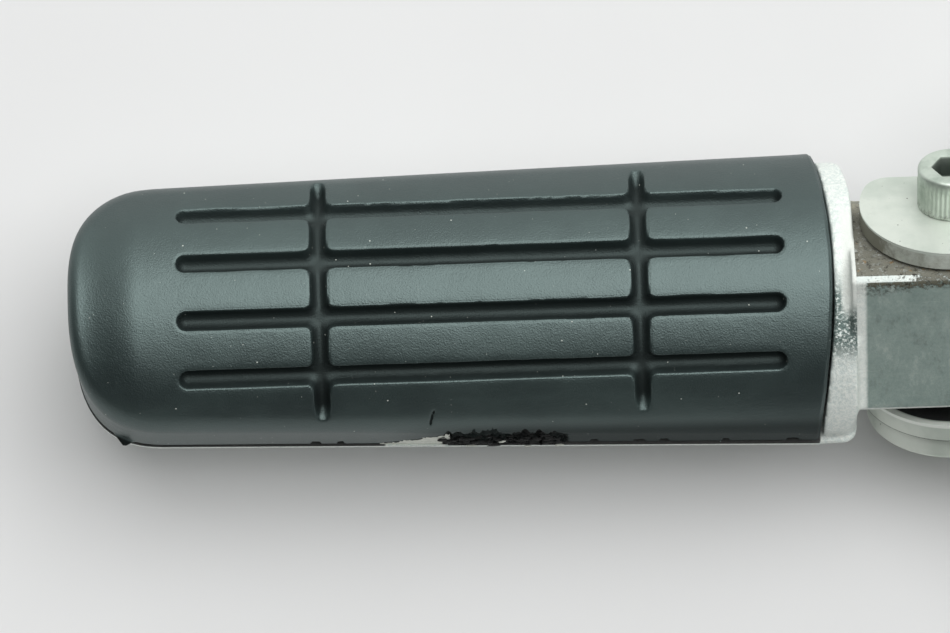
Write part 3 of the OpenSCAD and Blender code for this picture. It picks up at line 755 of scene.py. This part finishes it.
    # Underside, with the channel that the spine of the core fills
    profile = [(s["spineHalf"], 0.0), (s["spineHalf"] - 1.0, s["spineTop"] - 2.7), (s["spineHalf"] - 3.7, s["spineTop"])]
    innerY = np.array([p[0] for p in profile] + [-p[0] for p in profile[::-1]])
    innerUp = np.array([p[1] for p in profile] + [p[1] for p in profile[::-1]])
    limit = np.minimum(1.0, halfAt * 0.85 / s["spineHalf"])
    under = np.zeros((xs.size, innerY.size, 3))
    under[..., 0] = xs[:, None]
    under[..., 1] = innerY[None, :] * limit[:, None]
    lift = np.where(xs > spineX, 1.0, 0.0)[:, None]
    under[..., 2] = np.maximum(footZ, (baseZ + innerUp)[None, :] * lift + footZ * (1.0 - lift))
    under[..., 2] = np.where((innerUp > 0.0)[None, :], under[..., 2], footZ)
    under[..., 0] -= take[:, :1] * (bow - np.sqrt(bow ** 2 - under[..., 1] ** 2))
    rings = np.concatenate([outer, under], axis=1)
    pad = loftObject("treadPad", rings)
    spare = np.zeros(under.shape[:2])
    pointValues(pad, "groove", np.concatenate([sunk * (depth > 0.2), spare], 1))
    pointValues(pad, "torn", np.concatenate([np.clip(torn, 0, 1), spare], 1))
    return pad


treadPad = buildPad()
treadPad.data.materials.append(rubberLook())
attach(treadPad, "peg")
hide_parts("peg_rubber")
print("tread pad:", len(treadPad.data.polygons), "faces")


# ---- the flank of the core, bare where the lip is torn away ----
flankShape = {"inset": 0.18, "thick": 0.7, "rise": 5.6, "margin": 0.3}


def buildFlank():
    s = flankShape
    start, end = padTears["open"]
    xs = np.linspace(noseX + start - s["margin"], noseX + end + s["margin"], 40)
    outerY = -sideHalf(xs) + s["inset"]
    foot = baseZ + 0.5
    top = footZ + s["rise"]
    corners = [(0.0, foot), (0.0, top - 0.4), (0.3, top), (s["thick"], top), (s["thick"], foot)]
    rings = np.array([[(x, y + inward, z) for inward, z in corners] for x, y in zip(xs, outerY)])
    return loftObject("coreFlank", rings)


def flankLook():
    look = Look("bareFlank")
    mottle = look.noise(0.6, 4.0, 0.7)
    colour = look.mix(mottle.rise(0.35, 0.65), tint(206, 210, 200), tint(228, 230, 222))
    look.set(Base_Color=colour, Metallic=0.25 + mottle * 0.2, Roughness=0.5 + mottle * 0.2, Normal=look.bump(mottle, 0.04, 0.6))
    return look.material


coreFlank = buildFlank()
coreFlank.data.materials.append(flankLook())
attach(coreFlank, "peg")
print("bare flank")


# ---- crumbs and shreds of rubber along the tear ----
shredShape = {"count": 190, "size": (0.1, 0.4), "stretch": (2.1, 0.7, 0.8), "seed": 11,
              "flap": ((61.1, -0.1, -0.55), (1.35, 0.3, 0.85))}


# A lump with an uneven skin, at a place and with half lengths in millimetres
def addLump(work, centre, halves, spin, offset):
    made = bmesh.ops.create_icosphere(work, subdivisions=2, radius=1.0)
    for vertex in made["verts"]:
        uneven = 1.0 + 0.5 * noise.noise(vertex.co * 1.9 + Vector((offset, 0, 0)))
        turned = spin @ Vector([length * halves[i] * uneven for i, length in enumerate(vertex.co)])
        vertex.co = (turned + Vector(centre)) * mm


def lumpObject(name, work):
    mesh = bpy.data.meshes.new(name)
    work.to_mesh(mesh)
    work.free()
    made = bpy.data.objects.new(name, mesh)
    scene.collection.objects.link(made)
    mesh.polygons.foreach_set("use_smooth", [True] * len(mesh.polygons))
    return made


# A place on the front wall of the pad: from the nose, out of the wall, and above the foot
def onWall(fromNose, out, above):
    at = noseX + fromNose
    return (at, -float(sideHalf(at)) - out, footZ + above)


def buildShreds():
    s = shredShape
    draw = np.random.default_rng(s["seed"])
    work = bmesh.new()
    start, end = padTears["ragged"]
    for i in range(s["count"]):
        centre = onWall(draw.uniform(start - 0.2, end - 0.3), draw.uniform(-0.5, 0.1), draw.triangular(-0.5, 0.6, 5.6))
        halves = draw.uniform(0.6, 1.3, 3) * draw.uniform(*s["size"]) * s["stretch"]
        spin = Matrix.Rotation(draw.normal() * 0.5, 3, Vector((0.2, 1.0, 0.3)))
        addLump(work, centre, halves, spin, i * 3.1)
    place, halves = s["flap"]
    addLump(work, onWall(*place), halves, Matrix.Rotation(0.15, 3, "Y"), 1.7)
    return lumpObject("tornShreds", work)


def shredLook():
    look = Look("tornRubber")
    grain = look.noise(0.3, 4.0, 0.7)
    colour = look.mix(grain.rise(0.35, 0.7), tint(14, 16, 16), tint(46, 48, 47))
    look.set(Base_Color=colour, Roughness=0.75 + grain * 0.1, Normal=look.bump(grain, 0.08, 0.8))
    return look.material


tornShreds = buildShreds()
tornShreds.data.materials.append(shredLook())
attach(tornShreds, "peg")

# Light chips that are left among the shreds: place on the wall, half lengths and turn
chipPlaces = (((62.2, 0.32, 3.1), (0.62, 0.12, 0.3), -0.6), ((70.5, 0.2, 0.15), (0.66, 0.2, 0.32), 0.1),
              ((65.9, 0.25, -0.2), (0.5, 0.15, 0.2), 0.0), ((57.6, 0.15, -0.1), (0.8, 0.15, 0.14), 0.1))
chips = bmesh.new()
for place, halves, turn in chipPlaces:
    addLump(chips, onWall(*place), halves, Matrix.Rotation(turn, 3, "Y"), 0.4)
lightChips = lumpObject("lightChips", chips)
lightChips.data.materials.append(coreFlank.data.materials[0])
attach(lightChips, "peg")
print("torn shreds and chips")


# ---- cast pieces: the CAD forms with broken edges ----
castShape = {"mergeBelow": 0.004, "flatWithin": 1.2, "edgeAngle": 28.0, "smoothAngle": 34.0,
             "headFrom": 2.42, "overlap": 0.3, "voxel": 0.3, "rounds": 6,
             "rimOut": 0.2, "rimBelow": 0.25, "cornerBack": 1.7, "cornerFrom": 9.5, "cornerTo": 19.5}


# A copy of a CAD node as a piece of its own, cut at x so that only one side of it is left
def nodeCopy(node, name, cut=None, side=1.0):
    mesh = frame["nodes"][node].data.copy()
    mesh.name = name
    mesh.materials.clear()
    piece = bpy.data.objects.new(name, mesh)
    scene.collection.objects.link(piece)
    work = bmesh.new()
    work.from_mesh(mesh)
    bmesh.ops.remove_doubles(work, verts=work.verts, dist=castShape["mergeBelow"] * mm)
    if cut is not None:
        everything = work.verts[:] + work.edges[:] + work.faces[:]
        bmesh.ops.bisect_plane(work, geom=everything, plane_co=(cut * mm, 0, 0), plane_no=(side, 0, 0), clear_inner=True)
        bmesh.ops.holes_fill(work, edges=[edge for edge in work.edges if edge.is_boundary], sides=0)
    work.to_mesh(mesh)
    work.free()
    mesh.polygons.foreach_set("use_smooth", [True] * len(mesh.polygons))
    return piece


# Joins the triangles of flat faces and breaks the sharp edges
def breakEdges(piece, width, segments=2):
    work = bmesh.new()
    work.from_mesh(piece.data)
    bmesh.ops.dissolve_limit(work, angle_limit=math.radians(castShape["flatWithin"]), verts=work.verts, edges=work.edges)
    work.to_mesh(piece.data)
    work.free()
    piece.data.polygons.foreach_set("use_smooth", [True] * len(piece.data.polygons))
    bevel = piece.modifiers.new("brokenEdges", "BEVEL")
    bevel.width = width * mm
    bevel.segments = segments
    bevel.limit_method = "ANGLE"
    bevel.angle_limit = math.radians(castShape["edgeAngle"])
    bevel.use_clamp_overlap = True
    piece.data.set_sharp_from_angle(angle=math.radians(castShape["smoothAngle"]))


# Softens every edge and corner, as sand casting does
def softenEdges(piece):
    remesh = piece.modifiers.new("evenMesh", "REMESH")
    remesh.mode = "VOXEL"
    remesh.voxel_size = castShape["voxel"] * mm
    remesh.use_smooth_shade = True
    smooth = piece.modifiers.new("softEdges", "SMOOTH")
    smooth.factor = 0.5
    smooth.iterations = castShape["rounds"]


def vertexPlaces(piece):
    co = np.zeros(len(piece.data.vertices) * 3)
    piece.data.vertices.foreach_get("co", co)
    return co.reshape(-1, 3) / mm


def movePlaces(piece, places):
    piece.data.vertices.foreach_set("co", (places * mm).ravel())
    piece.data.update()


# The rim stands out a little under the pad, and the collar's back corner is cut back
def castOutline(piece):
    s = castShape
    places = vertexPlaces(piece)
    rim = (places[:, 2] < footZ - s["rimBelow"]) & (places[:, 0] < cutX + 0.3)
    places[rim, 1] *= 1.0 + s["rimOut"] / endHalf
    places[rim, 0] -= s["rimOut"] * (cutX - places[rim, 0]) / (cutX - noseX)
    toCorner = np.clip((places[:, 1] - s["cornerFrom"]) / (s["cornerTo"] - s["cornerFrom"]), 0.0, 1.2) ** 2
    onCollar = np.clip((places[:, 0] - padEndX) / 3.0, 0.0, 1.0) * (places[:, 0] < padEndX + 3.1)
    places[:, 0] -= s["cornerBack"] * toCorner * onCollar
    movePlaces(piece, places)


castMetal = castLook()
cutX = padEndX - castShape["headFrom"]
coreHead = nodeCopy("peg_core", "coreHead", cutX - castShape["overlap"], 1.0)
castOutline(coreHead)
softenEdges(coreHead)
coreBase = nodeCopy("peg_core", "coreBase", cutX, -1.0)
castOutline(coreBase)
breakEdges(coreBase, 0.2)
for piece in (coreHead, coreBase):
    piece.data.materials.append(castMetal)
    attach(piece, "peg")
    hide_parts("peg_core")

forkBody = nodeCopy("bracket", "forkBody")
breakEdges(forkBody, 0.35, 3)
forkBody.data.materials.append(bracketLook())
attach(forkBody, "fork")
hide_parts("bracket")
print("core and bracket")


# ---- pivot cap screw with a knurled head ----
screwShape = {
    "radius": 5.0, "height": 6.4, "shank": 3.0, "socketFlats": 5.0, "socketDepth": 3.2,
    "ridges": 44, "ridgeDepth": 0.2, "knurlFrom": 0.5, "knurlTo": 4.6, "corner": 0.55,
}


def buildScrew():
    s = screwShape
    low, high = (inMillimetres(corner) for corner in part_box("pivot_screw"))
    places = vertexPlaces(frame["nodes"]["pivot_screw"]) - pivot
    heights = places @ pivotAxis
    topZ, endZ = heights.max(), heights.min()
    seat = topZ - s["height"]
    perRidge = 6
    count = s["ridges"] * perRidge
    turn = np.arange(count) * 2 * math.pi / count
    ridge = np.abs(((np.arange(count) % perRidge) / perRidge) * 2 - 1)
    hexRadius = s["socketFlats"] / 2 / np.cos((turn % (math.pi / 3)) - math.pi / 6)
    rings, deep = [], []

    def ring(radius, height, depth=0.0):
        rings.append((np.broadcast_to(radius, turn.shape), height))
        deep.append(depth)

    ring(s["shank"] - 0.5, endZ)
    ring(s["shank"], endZ + 0.5)
    ring(s["shank"], seat)
    ring(s["radius"] - 0.2, seat)
    ring(s["radius"], seat + 0.2)
    ring(s["radius"], seat + s["knurlFrom"])
    ring(s["radius"] - s["ridgeDepth"] * ridge, seat + s["knurlFrom"] + 0.25)
    ring(s["radius"] - s["ridgeDepth"] * ridge, seat + s["knurlTo"] - 0.25)
    ring(s["radius"] - 0.05, seat + s["knurlTo"])
    ring(s["radius"] - 0.05, topZ - s["corner"])
    for share in (0.3, 0.6, 0.85, 1.0):
        bend = share * math.pi / 2
        ring(s["radius"] - 0.05 - s["corner"] * (1 - math.cos(bend)), topZ - s["corner"] * (1 - math.sin(bend)))
    # Rings down the hex socket carry a painted shade value that grows with depth
    ring(hexRadius + 0.45, topZ, 0.0)
    ring(hexRadius + 0.12, topZ - 0.12, 0.2)
    ring(hexRadius, topZ - 0.45, 0.6)
    ring(hexRadius, topZ - s["socketDepth"], 1.0)
    ring(0.3, topZ - s["socketDepth"] - 0.5, 1.0)
    points = np.array([inFork(r * np.cos(turn), r * np.sin(turn), np.full(count, h)) for r, h in rings])
    screw = loftObject("pivotScrew", points)
    pointValues(screw, "deep", np.repeat(deep, count))
    grime = [1.0 if seat - 0.1 < h < seat + 1.6 else 0.0 for r, h in rings]
    pointValues(screw, "grime", np.repeat(grime, count))
    screw.data.set_sharp_from_angle(angle=math.radians(38.0))
    return screw


pivotScrew = buildScrew()
pivotScrew.data.materials.append(steelLook("screwPlating", "deep"))
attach(pivotScrew, "fork")
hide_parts("pivot_screw")

nutDisc = nodeCopy("nut_plate", "nutDisc")
breakEdges(nutDisc, 0.25, 3)
nutDisc.data.materials.append(forkBody.data.materials[0])
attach(nutDisc, "fork")
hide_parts("nut_plate")
print("pivot screw and nut plate")

# ---- the CAD pieces that stay ----
steel = steelLook()
plastic = plasticLook()
for node, material in (("pivot_bush", steel), ("wave_washer", steel), ("pad_plate", steel), ("pad_screws", steel),
                       ("pad_washers", steel), ("upper_washer", plastic), ("lower_washer", plastic)):
    piece = frame["nodes"][node]
    for place in piece.material_slots:
        place.material = material
    if not piece.material_slots:
        piece.data.materials.append(material)

# ---- floor, lamps and camera ----
stageShape = {"floorDrop": 0.6, "floorSize": 4000.0, "floorTint": tint(214, 214, 214)}
lowest = inMillimetres(cadBounds[0])[2]


def floorLook():
    look = Look("paleTable")
    cloudy = look.noise(60.0, 3.0, 0.5)
    colour = look.mix(cloudy.rise(0.3, 0.7), stageShape["floorTint"], tint(212, 212, 212))
    look.set(Base_Color=colour, Roughness=0.8)
    return look.material


half = stageShape["floorSize"] / 2
level = lowest - stageShape["floorDrop"]
floor = meshObject("floor", [(-half, -half, level), (half, -half, level), (half, half, level), (-half, half, level)],
                   [(0, 1, 2, 3)], False)
floor.data.materials.append(floorLook())

roomShape = {"front": tint(60, 62, 61), "back": tint(250, 252, 251), "toward": (0.3, 1.0, 0.0),
             "from": -0.45, "to": 0.75, "strength": 1.0}


# The room is paler behind the part and to its right than in front of it
def buildRoom():
    world = bpy.data.worlds.new("room")
    world.use_nodes = True
    tree = world.node_tree
    place = tree.nodes.new("ShaderNodeTexCoord")
    split = tree.nodes.new("ShaderNodeVectorMath")
    split.operation = "DOT_PRODUCT"
    split.inputs[1].default_value = roomShape["toward"]
    spread = tree.nodes.new("ShaderNodeMapRange")
    spread.interpolation_type = "SMOOTHSTEP"
    spread.inputs["From Min"].default_value = roomShape["from"]
    spread.inputs["From Max"].default_value = roomShape["to"]
    shade = tree.nodes.new("ShaderNodeValToRGB")
    shade.color_ramp.elements[0].color = (*roomShape["front"], 1.0)
    shade.color_ramp.elements[1].color = (*roomShape["back"], 1.0)
    sky = tree.nodes["Background"]
    sky.inputs["Strength"].default_value = roomShape["strength"]
    tree.links.new(place.outputs["Generated"], split.inputs[0])
    tree.links.new(split.outputs["Value"], spread.inputs["Value"])
    tree.links.new(spread.outputs[0], shade.inputs[0])
    tree.links.new(shade.outputs[0], sky.inputs["Color"])
    return world


scene.world = buildRoom()
lampShape = {
    "overhead": {"place": (320, 240, 1980), "aim": (-90, 0, 0), "size": (2112, 2200), "power": 46.0},
}
for name, spec in lampShape.items():
    lamp = bpy.data.lights.new(name, "AREA")
    lamp.shape = "RECTANGLE"
    lamp.size, lamp.size_y = (length * mm for length in spec["size"])
    lamp.energy = spec["power"]
    holder = bpy.data.objects.new(name, lamp)
    holder.location = Vector(spec["place"]) * mm
    aim = Vector(spec["aim"]) * mm - holder.location
    holder.rotation_euler = aim.to_track_quat("-Z", "Y").to_euler()
    scene.collection.objects.link(holder)

cameraShape = {"azimuth": 3.666, "elevation": 76.525, "roll": -5.398, "distance": 1168.07,
               "along": -92.8, "up": -1.677, "focalPixels": 8000.0, "imageWidth": 950.0, "sensor": 36.0}


def placeCamera():
    s = cameraShape
    azimuth, elevation, roll = (math.radians(s[key]) for key in ("azimuth", "elevation", "roll"))
    out = Vector((math.sin(azimuth) * math.cos(elevation), -math.cos(azimuth) * math.cos(elevation), math.sin(elevation)))
    right = Vector((math.cos(azimuth), math.sin(azimuth), 0.0))
    upward = out.cross(right).normalized()
    turnedRight = right * math.cos(roll) + upward * math.sin(roll)
    turnedUp = upward * math.cos(roll) - right * math.sin(roll)
    at = (Vector((s["along"], 0.0, 0.0)) + upward * s["up"] + out * s["distance"]) * mm
    data = bpy.data.cameras.new("camera")
    data.sensor_width = s["sensor"]
    data.lens = s["focalPixels"] * s["sensor"] / s["imageWidth"]
    data.clip_start = 0.01
    data.clip_end = 20.0
    camera = bpy.data.objects.new("camera", data)
    turn = Matrix((turnedRight, turnedUp, out)).transposed().to_4x4()
    camera.matrix_world = Matrix.Translation(at) @ turn
    scene.collection.objects.link(camera)
    return camera


scene.camera = placeCamera()
scene.view_settings.view_transform = "Standard"
print("stage, lamps and camera")
